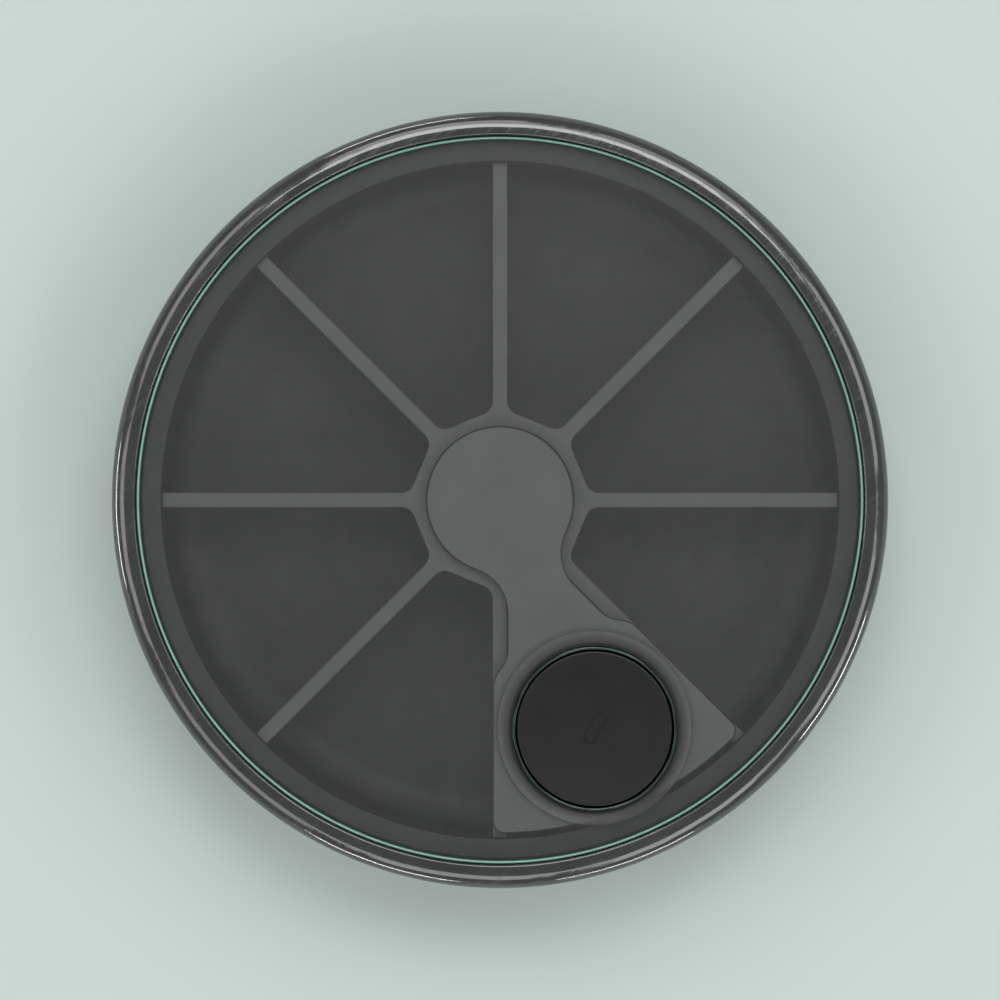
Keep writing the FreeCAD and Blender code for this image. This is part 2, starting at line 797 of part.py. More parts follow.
def make_drive_socket():
    body = new_body("drive_socket")
    flange_bottom = size.plate_bottom - size.socket_flange_depth
    bottom = size.wheel_top + size.running
    turn(
        body,
        "socket_turn",
        [
            (0, bottom),
            (size.socket_radius, bottom),
            (size.socket_radius, flange_bottom),
            (size.socket_flange, flange_bottom),
            (size.socket_flange, size.plate_bottom),
            (0, size.plate_bottom),
        ],
    )
    hexagon = add_sketch(body, "socket_hexagon_outline", height=bottom)
    draw_hexagon(hexagon, size.drive_width + 2 * size.running)
    pocket(body, "socket_hexagon", hexagon, size.socket_roof - bottom, upward=True)
    return place(body)


def make_port_liner():
    """Polished tube through the lid, with a rounded lip and a flange under the window."""
    lip = (size.liner_radius - size.port_bore) / 2
    flange_bottom = size.lid_bottom + size.gasket_depth
    flange_top = flange_bottom + size.liner_flange_depth
    body = turned(
        "port_liner",
        [
            (size.port_bore, size.plate_bottom),
            (size.liner_radius, size.plate_bottom),
            (size.liner_radius, flange_bottom),
            (size.liner_flange, flange_bottom),
            (size.liner_flange, flange_top),
            (size.liner_radius, flange_top),
            (size.liner_radius, size.liner_top - lip),
            (size.port_bore + lip, size.liner_top, lip, 1),
            (size.port_bore, size.liner_top - lip, lip, 1),
        ],
    )
    return place(body, size.home_angle, size.port_radius)


def make_liner_gasket():
    bore = size.liner_radius + size.running
    outer = size.liner_flange - size.loose
    top = size.lid_bottom + size.gasket_depth
    body = turned(
        "liner_gasket",
        [(bore, size.lid_bottom), (outer, size.lid_bottom), (outer, top), (bore, top)],
    )
    return place(body, size.home_angle, size.port_radius)


def make_lid_edge_seal():
    bore = size.lid_radius + size.loose
    lip = (size.seal_radius - bore) / 4
    return turned(
        "lid_edge_seal",
        [
            (bore, size.lid_ledge_top),
            (size.seal_radius - size.running, size.lid_ledge_top),
            (size.seal_radius, size.lid_ledge_top + size.running),
            (size.seal_radius, size.seal_top - lip),
            (size.seal_radius - lip, size.seal_top, lip, 1),
            (bore + lip, size.seal_top),
            (bore, size.seal_top - lip, lip, 1),
        ],
    )


def make_port_wiper():
    bore = size.port_bore + size.loose
    bottom = size.spoke_top + size.loose
    body = turned(
        "port_wiper",
        [
            (bore, bottom),
            (size.wiper_radius, bottom),
            (size.wiper_radius, size.plate_bottom),
            (bore, size.plate_bottom),
        ],
    )
    return place(body, size.home_angle, size.port_radius)


# ---- the port's cap and its button ----------------------------------------------------------


def make_cap_body():
    outer = size.port_bore - size.running
    groove = size.ring_radius - size.ring_section
    groove_bottom = size.ring_height - size.ring_groove_half
    groove_top = size.ring_height + size.ring_groove_half
    lip_bore = size.stem_radius + size.running
    edge = size.button_edge
    body = turned(
        "cap_body",
        [
            (size.post_radius, size.cap_bottom),
            (outer - edge, size.cap_bottom),
            (outer, size.cap_bottom + edge),
            (outer, groove_bottom),
            (groove, groove_bottom),
            (groove, groove_top),
            (outer, groove_top),
            (outer, size.cap_shoulder),
            (size.cap_guide, size.cap_shoulder),
            (size.cap_guide, size.cap_guide_top),
            (size.cap_cavity, size.cap_guide_top),
            (size.cap_cavity, size.cap_floor),
            (size.post_radius, size.cap_floor),
            (size.post_radius, size.cap_guide_top),
            (lip_bore, size.cap_guide_top),
            (lip_bore, size.post_lip),
            (size.post_bore, size.post_lip),
            (size.post_bore, size.plug_seat),
            (size.post_radius, size.plug_seat),
        ],
    )
    return place(body, size.home_angle, size.port_radius)


def make_cap_plug():
    outer = size.post_radius - size.loose
    spigot = size.post_bore - size.loose
    body = turned(
        "cap_plug",
        [
            (0, size.cap_bottom),
            (outer, size.cap_bottom),
            (outer, size.plug_seat),
            (spigot, size.plug_seat),
            (spigot, size.plug_top),
            (0, size.plug_top),
        ],
    )
    return place(body, size.home_angle, size.port_radius)


def make_cap_seal():
    body = new_body("cap_seal")
    section = add_sketch(body, "cap_seal_section", "XZ_Plane")
    draw_circle(section, size.ring_radius, size.ring_height, size.ring_section)
    ring = body.newObject("PartDesign::Revolution", "cap_seal_turn")
    ring.Profile = section
    ring.ReferenceAxis = (section, ["V_Axis"])
    ring.Angle = 360
    return place(body, size.home_angle, size.port_radius)


def draw_capsule(sketch, half_length, radius, angle):
    """A rounded bar through the origin, tilted by this angle."""
    along_x, along_y = half_length * cosine(angle), half_length * sine(angle)
    out_x, out_y = -radius * sine(angle), radius * cosine(angle)
    tip_x, tip_y = radius * cosine(angle), radius * sine(angle)
    draw_outline(
        sketch,
        [
            (along_x - out_x, along_y - out_y),
            (along_x + tip_x, along_y + tip_y, radius, 1),
            (along_x + out_x, along_y + out_y, radius, 1),
            (-along_x + out_x, -along_y + out_y),
            (-along_x - tip_x, -along_y - tip_y, radius, 1),
            (-along_x - out_x, -along_y - out_y, radius, 1),
        ],
    )


def make_button_disc():
    """Black button: dished plate, skirt, and a stem with a groove for the clip."""
    body = new_body("button_disc")
    edge, dish = size.button_edge, size.button_dish
    dish_round = (size.button_land * size.button_land + dish * dish) / (2 * dish)
    turn(
        body,
        "button_turn",
        [
            (0, size.stem_end),
            (size.stem_radius, size.stem_end),
            (size.stem_radius, size.clip_bottom),
            (size.clip_groove, size.clip_bottom),
            (size.clip_groove, size.clip_top),
            (size.stem_radius, size.clip_top),
            (size.stem_radius, size.button_plate),
            (size.button_skirt_bore, size.button_plate),
            (size.button_skirt_bore, size.button_skirt),
            (size.button_radius, size.button_skirt),
            (size.button_radius, size.button_top - edge),
            (size.button_radius - edge, size.button_top, edge, 1),
            (size.button_land, size.button_top),
            (0, size.button_top - dish, dish_round, -1),
        ],
    )
    depth = size.button_dish + size.mark_depth
    mark = add_sketch(body, "mark_outline", height=size.button_top)
    draw_capsule(mark, size.mark_half_length, size.mark_radius, size.mark_angle)
    inner = size.mark_radius - size.mark_line
    draw_capsule(mark, size.mark_half_length, inner, size.mark_angle)
    pocket(body, "mark", mark, depth)
    across = size.mark_angle + 90
    band = add_sketch(body, "mark_band_outline", height=size.button_top)
    draw_capsule(band, size.mark_radius - size.mark_line, size.mark_line / 2, across)
    pocket(body, "mark_band", band, depth)
    return place(body, size.home_angle, size.port_radius)


def make_button_clip():
    """Open ring that snaps into the groove in the button's stem."""
    body = new_body("button_clip")
    bore = size.clip_groove + size.loose
    turn(
        body,
        "clip_turn",
        [
            (bore, size.clip_bottom),
            (size.clip_radius, size.clip_bottom),
            (size.clip_radius, size.clip_top),
            (bore, size.clip_top),
        ],
    )
    mouth = add_sketch(body, "clip_mouth_outline", height=size.clip_top)
    half = size.clip_groove * cosine(size.pitch_angle)
    draw_outline(
        mouth,
        [(0, -half), (size.post_radius, -half), (size.post_radius, half), (0, half)],
    )
    pocket(body, "clip_mouth", mouth, size.clip_top - size.clip_bottom)
    return place(body, size.home_angle, size.port_radius)


def make_button_spring():
    """Coil spring between the cap's floor and the button's plate."""
    rise = size.button_plate - size.cap_floor - 2 * size.coil_wire
    helix = doc.addObject("Part::Helix", "coil_line")
    bind(helix, "Radius", size.coil_radius)
    bind(helix, "Height", rise)
    bind(helix, "Pitch", rise / size.coil_turns)
    helix.SegmentLength = 1
    wire = doc.addObject("Part::Circle", "coil_section")
    bind(wire, "Radius", size.coil_wire)
    upright = FreeCAD.Rotation(FreeCAD.Vector(1, 0, 0), 90)
    wire.Placement = FreeCAD.Placement(FreeCAD.Vector(), upright)
    bind(wire, ".Placement.Base.x", size.coil_radius)
    spring = doc.addObject("Part::Sweep", "button_spring")
    spring.Label = "button_spring"
    spring.Sections = [wire]
    spring.Spine = helix
    spring.Solid = True
    spring.Frenet = True
    place(spring, size.home_angle, size.port_radius)
    bind(spring, ".Placement.Base.z", size.cap_floor + size.coil_wire)
    return spring


MAKERS = (
    make_base_shell,
    make_rim_ring,
    make_tray,
    make_divider,
    make_grip_ring,
    make_hub_bush,
    make_click_spring,
    make_spindle,
    make_spindle_washer,
    make_spindle_screw,
    make_lid_window,
    make_rotor_plate,
    make_drive_socket,
    make_port_liner,
    make_liner_gasket,
    make_lid_edge_seal,
    make_port_wiper,
    make_cap_body,
    make_cap_plug,
    make_cap_seal,
    make_button_spring,
    make_button_disc,
    make_button_clip,
)


def check_features():
    """Stops if a feature failed, or if a cut took nothing away."""
    for item in doc.Objects:
        if {"Invalid", "Error"} & set(item.State):
            raise RuntimeError(f"{item.Name} failed: {item.State}")
        if item.TypeId in ("PartDesign::Pocket", "PartDesign::Groove"):
            if item.Shape.Volume >= item.BaseFeature.Shape.Volume - 1e-6:
                raise RuntimeError(f"{item.Name} cuts nothing")


def write_parts(parts):
    os.makedirs("parts", exist_ok=True)
    for part in parts:
        shape = part.Shape
        if shape.isNull() or not shape.isValid() or len(shape.Solids) != 1:
            raise RuntimeError(f"{part.Label} is not one valid solid")
        shape.exportStep(f"parts/{part.Label}.step")
        print(f"{part.Label}: {shape.Volume:.1f} mm3")


doc = FreeCAD.newDocument("PillOrganizer")
size = make_sheet(doc)
sub_parts = [make() for make in MAKERS]
doc.recompute()
check_features()
write_parts(sub_parts)
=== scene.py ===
"""Looks of a round travel pill organizer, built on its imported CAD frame.

Metres, +Z up, the case's axis on Z. The sections of the turned pieces are written in
millimetres, from the levels and radii that the frame gives.
"""

import math

import bmesh
import bpy
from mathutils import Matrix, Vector


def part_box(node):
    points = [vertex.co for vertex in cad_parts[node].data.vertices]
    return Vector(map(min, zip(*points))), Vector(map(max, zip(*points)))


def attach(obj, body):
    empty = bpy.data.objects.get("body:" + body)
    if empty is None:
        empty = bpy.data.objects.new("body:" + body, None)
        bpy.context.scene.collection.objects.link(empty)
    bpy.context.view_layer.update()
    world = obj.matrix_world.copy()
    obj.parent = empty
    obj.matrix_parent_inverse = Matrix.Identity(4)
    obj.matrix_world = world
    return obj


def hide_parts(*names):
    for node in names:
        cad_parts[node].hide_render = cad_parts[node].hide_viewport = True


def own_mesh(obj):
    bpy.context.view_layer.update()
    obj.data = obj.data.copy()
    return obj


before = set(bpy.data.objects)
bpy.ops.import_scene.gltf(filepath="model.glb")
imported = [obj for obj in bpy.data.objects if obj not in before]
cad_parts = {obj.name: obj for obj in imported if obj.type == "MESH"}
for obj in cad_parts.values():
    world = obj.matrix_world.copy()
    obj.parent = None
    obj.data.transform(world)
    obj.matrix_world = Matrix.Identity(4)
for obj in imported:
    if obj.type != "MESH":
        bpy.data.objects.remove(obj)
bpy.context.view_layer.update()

MM = 0.001
TURN = 2 * math.pi

SEGMENTS = 288                     # facets round a turned piece
ARC_STEP = math.radians(11)        # longest step along a rounded corner
SHARP = math.radians(38)           # edges that turn more than this stay crisp


# ------------------------------------------------------------------ the frame

class Place:
    """Where a CAD node lies, in millimetres: its axis, outer radius, and low and high level."""

    def __init__(self, node):
        low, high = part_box(node)
        self.axis = ((low.x + high.x) / 2 / MM, (low.y + high.y) / 2 / MM)
        self.radius = (high.x - low.x) / 2 / MM
        self.low = low.z / MM
        self.high = high.z / MM


CASE = Place("base_shell")
RIM = Place("rim_ring")
TRAY = Place("tray")
WINDOW = Place("lid_window")
EDGE_SEAL = Place("lid_edge_seal")
GRIP = Place("grip_ring")
LINER = Place("port_liner")
SPRING = Place("button_spring")
DIVIDER = Place("divider")
PLATE = Place("rotor_plate")
PORT = LINER.axis
FILM = 0.04                        # air between the window and what lies flat against it
PLATE_REACH = 43                   # from the case's axis to the plate's far edge
TRAY_WALL = 2.6                    # from the tray's inner edge to its outside
GRIP_WIDTH = 5.9                   # from the grip ring's bore to its outside


# ------------------------------------------------------------------ mesh tools

def rounded(corners):
    """An outline from corners (r, z) or (r, z, radius), each radius drawn as a tangent arc."""
    outline = []
    for index, corner in enumerate(corners):
        here = Vector(corner[:2])
        radius = corner[2] if len(corner) > 2 else 0
        before = (Vector(corners[index - 1][:2]) - here).normalized()
        after = (Vector(corners[(index + 1) % len(corners)][:2]) - here).normalized()
        turn = math.pi - before.angle(after)
        if not radius:
            outline.append(here)
            continue
        inward = (before + after).normalized()
        centre = here + inward * radius / math.cos(turn / 2)
        start = here + before * radius * math.tan(turn / 2) - centre
        side = 1 if start.cross(here - centre) > 0 else -1
        steps = max(3, math.ceil(turn / ARC_STEP))
        for step in range(steps + 1):
            angle = side * turn * step / steps
            cosine, sine = math.cos(angle), math.sin(angle)
            spoke = Vector((start.x * cosine - start.y * sine, start.x * sine + start.y * cosine))
            outline.append(centre + spoke)
    return outline


def ring(radius, level, axis=(0, 0), segments=SEGMENTS):
    """Points in metres of a level circle, or one point where the radius is nothing."""
    if radius < 1e-6:
        return [Vector((axis[0], axis[1], level)) * MM]
    angles = [TURN * step / segments for step in range(segments)]
    return [
        Vector((axis[0] + radius * math.cos(a), axis[1] + radius * math.sin(a), level)) * MM
        for a in angles
    ]


def skin(name, rings):
    """A closed mesh through a loop of rings, with smooth faces and crisp edges."""
    mesh = bpy.data.meshes.new(name)
    shape = bmesh.new()
    rows = [[shape.verts.new(point) for point in points] for points in rings]
    for index, row in enumerate(rows):
        following = rows[(index + 1) % len(rows)]
        longest = max(len(row), len(following))
        if longest == 1:
            continue
        for step in range(longest):
            ahead = (step + 1) % longest
            loop = [row[step % len(row)], row[ahead % len(row)]]
            loop += [following[ahead % len(following)], following[step % len(following)]]
            shape.faces.new(list(dict.fromkeys(loop)))
    bmesh.ops.recalc_face_normals(shape, faces=shape.faces)
    shape.to_mesh(mesh)
    shape.free()
    mesh.shade_smooth()
    mesh.set_sharp_from_angle(angle=SHARP)
    piece = bpy.data.objects.new(name, mesh)
    bpy.context.scene.collection.objects.link(piece)
    weighted = piece.modifiers.new("even_normals", "WEIGHTED_NORMAL")
    weighted.keep_sharp = True
    return piece


def lathe(name, corners, axis=(0, 0)):
    """A turned piece: the outline of its half section goes round an upright axis."""
    return skin(name, [ring(point.x, point.y, axis) for point in rounded(corners)])


def coil(name, place, wire, turns, steps=40, sides=12):
    """A closed helical wire that fills the place's height."""
    mean = place.radius - wire
    climb = place.high - place.low - 2 * wire
    count = int(turns * steps)
    rings = []
    for step in range(count + 1):
        angle = TURN * turns * step / count
        out = Vector((math.cos(angle), math.sin(angle), 0))
        along = Vector((-math.sin(angle), math.cos(angle), climb / (TURN * turns * mean))).normalized()
        middle = Vector((*place.axis, place.low + wire + climb * step / count)) + out * mean
        across = along.cross(out)
        rings.append([
            (middle + (out * math.cos(TURN * k / sides) + across * math.sin(TURN * k / sides)) * wire) * MM
            for k in range(sides)
        ])
        if step == 0:
            first = middle * MM
    return skin(name, [[first], *rings, [middle * MM]])


def stand_for(piece, node, body, look):
    """Lets a new piece take the place of a CAD node, on its body and with its finish."""
    piece.data.materials.append(look)
    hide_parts(node)
    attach(piece, body)
    return piece


def dress(node, look):
    """Gives a CAD node that stays its material."""
    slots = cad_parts[node].data.materials
    slots.clear()
    slots.append(look)


# ------------------------------------------------------------------ materials

class Look:
    """A material with one Principled shader and procedural detail in the piece's own space."""

    def __init__(self, name, colour, roughness, **sockets):
        self.material = bpy.data.materials.new(name)
        self.material.use_nodes = True
        self.tree = self.material.node_tree
        self.shader = self.tree.nodes["Principled BSDF"]
        self.shader.inputs["Base Color"].default_value = (*colour, 1)
        self.shader.inputs["Roughness"].default_value = roughness
        for socket, value in sockets.items():
            self.shader.inputs[socket.replace("_", " ")].default_value = value
        self.space = self.add("ShaderNodeTexCoord").outputs["Object"]
        self.relief = None

    def add(self, kind, links=(), **settings):
        """A node with its properties set and its inputs linked or filled in."""
        node = self.tree.nodes.new(kind)
        for name, value in settings.items():
            setattr(node, name, value)
        for socket, value in dict(links).items():
            if isinstance(value, bpy.types.NodeSocket):
                self.tree.links.new(value, node.inputs[socket])
            else:
                node.inputs[socket].default_value = value
        return node

    def noise(self, size, detail=3, space=None, roughness=0.55):
        """Cloudy noise whose patches are about size millimetres across."""
        links = {"Vector": space or self.space, "Scale": 1 / (size * MM)}
        links |= {"Detail": detail, "Roughness": roughness}
        return self.add("ShaderNodeTexNoise", links).outputs["Fac"]

    def cells(self, size, space=None):
        """Distance to the nearest of scattered points about size millimetres apart."""
        links = {"Vector": space or self.space, "Scale": 1 / (size * MM)}
        return self.add("ShaderNodeTexVoronoi", links).outputs["Distance"]

    def stretched(self, scale, turn=(0, 0, 0)):
        """The piece's own space, turned and then scaled."""
        turned = self.add("ShaderNodeMapping", {"Vector": self.space, "Rotation": turn})
        links = {"Vector": turned.outputs["Vector"], "Scale": scale}
        return self.add("ShaderNodeMapping", links).outputs["Vector"]

    def radius_from(self, axis):
        """The distance from an upright axis given in millimetres, as an output in metres."""
        links = {"Vector": self.space, "Location": (-axis[0] * MM, -axis[1] * MM, 0)}
        moved = self.add("ShaderNodeMapping", links | {"Scale": (1, 1, 0)}).outputs["Vector"]
        return self.add("ShaderNodeVectorMath", {0: moved}, operation="LENGTH").outputs["Value"]

    def turned_space(self, axis):
        """A space that varies across the radius and the height, but hardly round the axis."""
        split = self.add("ShaderNodeSeparateXYZ", {"Vector": self.space})
        links = {"X": self.radius_from(axis), "Z": split.outputs["Z"]}
        around = self.add("ShaderNodeVectorMath", {0: self.space, 3: 0.02}, operation="SCALE")
        combined = self.add("ShaderNodeCombineXYZ", links).outputs["Vector"]
        return self.add("ShaderNodeVectorMath", {0: combined, 1: around.outputs["Vector"]}).outputs["Vector"]

    def between(self, value, low, high, start=0.0, end=1.0, smooth=False):
        """The value mapped from start..end to low..high, and held there."""
        links = {"Value": value, "From Min": start, "From Max": end, "To Min": low, "To Max": high}
        kind = "SMOOTHSTEP" if smooth else "LINEAR"
        return self.add("ShaderNodeMapRange", links, interpolation_type=kind).outputs["Result"]

    def blend(self, factor, first, second):
        """One colour where the factor is 0, the other where it is 1."""
        node = self.add("ShaderNodeMix", data_type="RGBA")
        self.tree.links.new(factor, node.inputs["Factor"])
        for socket, colour in ((node.inputs[6], first), (node.inputs[7], second)):
            if isinstance(colour, bpy.types.NodeSocket):
                self.tree.links.new(colour, socket)
            else:
                socket.default_value = (*colour, 1)
        return node.outputs[2]

    def drive(self, socket, value):
        self.tree.links.new(value, self.shader.inputs[socket])

    def level(self):
        """The height of the point being shaded, in metres."""
        return self.add("ShaderNodeSeparateXYZ", {"Vector": self.space}).outputs["Z"]

    def combine(self, operation, first, second):
        return self.add("ShaderNodeMath", {0: first, 1: second}, operation=operation).outputs["Value"]

    def darken(self, factor, dark):
        """Blends the colour that is already linked towards a darker one, where the factor is 1."""
        colour = self.shader.inputs["Base Color"].links[0].from_socket
        self.drive("Base Color", self.blend(factor, colour, dark))

    def bump(self, height, depth):
        """Adds relief, depth millimetres from the height's 0 to its 1."""
        links = {"Height": height, "Distance": depth * MM}
        if self.relief:
            links["Normal"] = self.relief
        self.relief = self.add("ShaderNodeBump", links).outputs["Normal"]
        self.drive("Normal", self.relief)


def moulded(name, dark, light, roughness=(0.45, 0.62), grain=0.22, depth=0.006, **sockets):
    """Moulded plastic: a fine spark-eroded grain, faint flow clouds and handling marks."""
    look = Look(name, dark, roughness[0], **sockets)
    clouds = look.noise(9, detail=4)
    fine = look.noise(grain, detail=2)
    look.drive("Base Color", look.blend(look.between(clouds, 0, 1, 0.3, 0.7), dark, light))
    look.drive("Roughness", look.between(look.noise(3.5, detail=5), *roughness, 0.3, 0.7))
    look.bump(fine, depth)
    look.bump(look.noise(14, detail=1), 0.03)
    return look


def smoke_case():
    """Polished smoke-tinted plastic, with hairline scuffs and a slightly wavy moulded skin."""
    look = Look("smoke_case_polish", (0.02, 0.021, 0.021), 0.12, IOR=1.75)
    tint = look.between(look.noise(6, detail=3), 0, 1, 0.3, 0.7)
    look.drive("Base Color", look.blend(tint, (0.016, 0.017, 0.017), (0.025, 0.026, 0.026)))
    scuffs = look.noise(0.5, detail=4, space=look.stretched((1, 0.04, 0.3), (0.3, 0.5, 0.9)))
    look.drive("Roughness", look.between(scuffs, 0.10, 0.26, 0.45, 0.75))
    look.bump(look.noise(0.35, detail=2, space=look.turned_space((0, 0))), 0.0008)
    look.bump(look.noise(5, detail=1), 0.11)
    return look.material


def tray_grey():
    """Moulded tray: mid grey floor and top edge, with painted shade that darkens the walls from the deep
    cove upwards and the top edge towards the wells."""
    look = moulded("tray_grey", (0.085, 0.086, 0.086), (0.11, 0.111, 0.111))
    height = look.level()
    floor, wall, top = (TRAY.low + 1.7) * MM, (TRAY.low + 4.5) * MM, (TRAY.high - 0.02) * MM
    # Painted shade on the walls, from the cove up to just below the top face.
    above_floor = look.between(height, 0, 1, floor, wall, smooth=True)
    below_top = look.between(height, 1, 0, top - 0.04 * MM, top)
    painted_wall_shade = look.combine("MULTIPLY", above_floor, below_top)
    inner, fade, most = TRAY.radius - TRAY_WALL, 3.2, 0.45
    # Painted shade on the top edge, deepening towards the wells.
    painted_edge_shade = look.between(look.radius_from(CASE.axis), 0, most, (inner + fade) * MM, inner * MM)
    look.darken(look.combine("MAXIMUM", painted_wall_shade, painted_edge_shade), (0.012, 0.012, 0.012))
    return look.material


def paint_shade_below(look, top, bottom, dark):
    """Paints shade: darkens a look's colour from one level, in millimetres, down to another."""
    look.darken(look.between(look.level(), 1, 0, bottom * MM, top * MM), dark)


def divider_grey():
    """Moulded divider: pale on its top edges, with painted shade that darkens its walls and deck below them.
    """
    look = moulded("divider_grey", (0.18, 0.182, 0.182), (0.21, 0.212, 0.212))
    # Painted shade on the walls and deck below the top edges.
    paint_shade_below(look, DIVIDER.high - 0.2, DIVIDER.high - 0.6, (0.035, 0.035, 0.035))
    return look.material


def plate_grey():
    """Satin keyhole plate: grey face, with a painted shadow on its eased edge and sides, where the gap below
    it is shaded.
    """
    face = ((0.20, 0.202, 0.202), (0.225, 0.227, 0.227))
    look = moulded("plate_grey", *face, roughness=(0.38, 0.5), depth=0.004)
    # Painted shadow on the eased edge and sides, standing in for the shade of the gap under the plate.
    paint_shade_below(look, PLATE.high - 0.01, PLATE.high - 0.14, (0.03, 0.03, 0.03))
    return look.material


def smoke_window():
    """Smoke-tinted clear sheet whose frosted skin scatters a little light of its own."""
    look = Look("smoke_window_frost", (0.034, 0.035, 0.035), 0.36, Alpha=0.31)
    look.drive("Roughness", look.between(look.noise(2.5, detail=5), 0.3, 0.42, 0.3, 0.7))
    look.bump(look.cells(0.12), 0.0012)
    look.bump(look.noise(18, detail=1), 0.03)
    return look.material


def liner_lip():
    """Turned lip of the port, in black chrome with a green cast."""
    edge_tint = (0.16, 0.24, 0.22, 1)
    colour = (0.04, 0.055, 0.05)
    look = Look("liner_lip_polish", colour, 0.1, Metallic=1.0, Specular_Tint=edge_tint)
    lines = look.noise(0.06, detail=2, space=look.turned_space(PORT))
    look.drive("Roughness", look.between(lines, 0.07, 0.16, 0.3, 0.7))
    look.drive("Base Color", look.blend(look.noise(2), (0.032, 0.046, 0.042), (0.052, 0.07, 0.065)))
    look.bump(lines, 0.001)
    return look.material


def liner_flange():
    """Flange of the port under the window, with painted shade: a painted halo, black by the port and
    thinning out to the plate's grey, and still dark where it reaches past the plate, as painted shade of the
    step there."""
    look = Look("liner_flange_painted_shade", (0.01, 0.01, 0.01), 0.5)
    start, end = 10.9 * MM, LINER.radius * MM
    # Painted halo of shade round the port.
    painted_halo_fade = look.between(look.radius_from(PORT), 0, 1, start, end, smooth=True)
    start, end = (PLATE_REACH - 0.5) * MM, (PLATE_REACH + 0.2) * MM
    # Painted shade where the flange reaches past the plate's edge.
    painted_step_shade = look.between(look.radius_from(CASE.axis), 1, 0.2, start, end)
    grey = look.combine("MULTIPLY", painted_halo_fade, painted_step_shade)
    look.drive("Base Color", look.blend(grey, (0.012, 0.012, 0.012), (0.21, 0.212, 0.212)))
    look.bump(look.noise(0.3, detail=2), 0.004)
    return look.material


def soft_touch():
    """Soft-touch black: a velvety skin with a fine leathery grain and faint fingerprints."""
    look = Look("soft_touch_black", (0.005, 0.005, 0.005), 0.3, Specular_IOR_Level=0.4)
    prints = look.noise(4, detail=4)
    look.drive("Roughness", look.between(prints, 0.29, 0.315, 0.3, 0.7))
    look.drive("Base Color", look.blend(prints, (0.004, 0.004, 0.004), (0.006, 0.006, 0.006)))
    look.bump(look.cells(0.14), 0.0025)
    return look.material


def silicone(name, dark, light, roughness, **sockets):
    """Soft silicone with lint-like specks on its skin."""
    look = Look(name, dark, roughness, **sockets)
    specks = look.between(look.cells(0.9), 1, 0, 0.04, 0.12)
    look.drive("Base Color", look.blend(look.noise(1.6, detail=4), dark, light))
    look.drive("Roughness", look.between(look.noise(1.2, detail=4), roughness, roughness + 0.15))
    look.bump(specks, 0.004)
    look.bump(look.noise(0.4), 0.004)
    return look.material


def grip_rubber():
    """Matt rubber foot, dusty in its grain."""
    look = Look("grip_rubber_matt", (0.025, 0.025, 0.026), 0.8)
    dust = look.between(look.noise(2.2, detail=6, roughness=0.7), 0, 1, 0.5, 0.75)
    look.drive("Base Color", look.blend(dust, (0.022, 0.022, 0.023), (0.07, 0.068, 0.064)))
    look.drive("Roughness", look.between(dust, 0.7, 0.95))
    look.bump(look.noise(0.18, detail=3), 0.012)
    return look.material


def acetal():
    """Smooth white bearing plastic with faint moulding clouds."""
    look = Look("acetal_white", (0.72, 0.72, 0.69), 0.35, Subsurface_Weight=0.1, Subsurface_Scale=0.002)
    look.drive("Base Color", look.blend(look.noise(3, detail=4), (0.66, 0.66, 0.62), (0.78, 0.78, 0.75)))
    look.drive("Roughness", look.between(look.noise(1.5, detail=4), 0.28, 0.45))
    look.bump(look.noise(0.3), 0.003)
    return look.material


def steel(name, colour, roughness, size):
    """Bright steel with drawn or turned lines about size millimetres wide."""
    look = Look(name, colour, roughness, Metallic=1.0)
    lines = look.noise(size, detail=3, space=look.turned_space((0, 0)))
    pale = tuple(1.25 * channel for channel in colour)
    look.drive("Base Color", look.blend(lines, colour, pale))
    look.drive("Roughness", look.between(lines, roughness * 0.7, roughness * 1.4, 0.3, 0.7))
    look.bump(lines, 0.002)
    return look.material


# ------------------------------------------------------------------ pieces

def make_case(look):
    """Cup of the case: flat base with a groove for the grip ring, deep round, stepped lip."""
    side, low, high = CASE.radius, CASE.low, CASE.high
    lip, shoulder, wall, floor = 1.1, 1.2, 2.9, 1.6
    belly, cove, eased = 5, 0.8, 0.15
    groove, groove_edge, loose = 0.6, 0.12, 0.05
    inner, outer = GRIP.radius - GRIP_WIDTH - loose, GRIP.radius + loose
    corners = [
        (0, low), (inner, low, groove_edge), (inner, low + groove),
        (outer, low + groove), (outer, low, groove_edge),
        (side, low, belly), (side, high - shoulder, eased), (side - lip, high - shoulder, 0.1),
        (side - lip, high, eased), (side - wall, high, eased), (side - wall, low + floor, cove),
        (0, low + floor),
    ]
    stand_for(lathe("case_cup", corners), "base_shell", "base", look)


def make_rim(look):
    """Bullnose ring that snaps over the cup's lip."""
    outer, low, high = RIM.radius, RIM.low, RIM.high
    width, socket, step = 3.15, 1.65, 1.25
    bullnose, skirt, bore_edge, inside_edge = 2.2, 0.8, 0.3, 0.1
    corners = [
        (outer - socket, low, inside_edge), (outer, low, skirt), (outer, high, bullnose),
        (outer - width, high, bore_edge), (outer - width, low + step, inside_edge),
        (outer - socket, low + step),
    ]
    stand_for(lathe("rim_bullnose", corners), "rim_ring", "base", look)


def make_tray(look):
    """Dark liner cup with a coved corner, whose edge shows as a band inside the rim."""
    outer, low, high = TRAY.radius, TRAY.low, TRAY.high
    floor, bore, cove, top_edge = 1.6, 6.1, 5, 0.25
    inner = outer - TRAY_WALL
    corners = [
        (bore, low), (outer, low, 0.3), (outer, high, top_edge), (inner, high, top_edge),
        (inner, low + floor, cove), (bore, low + floor, 0.1),
    ]
    stand_for(lathe("tray_cup", corners), "tray", "base", look)


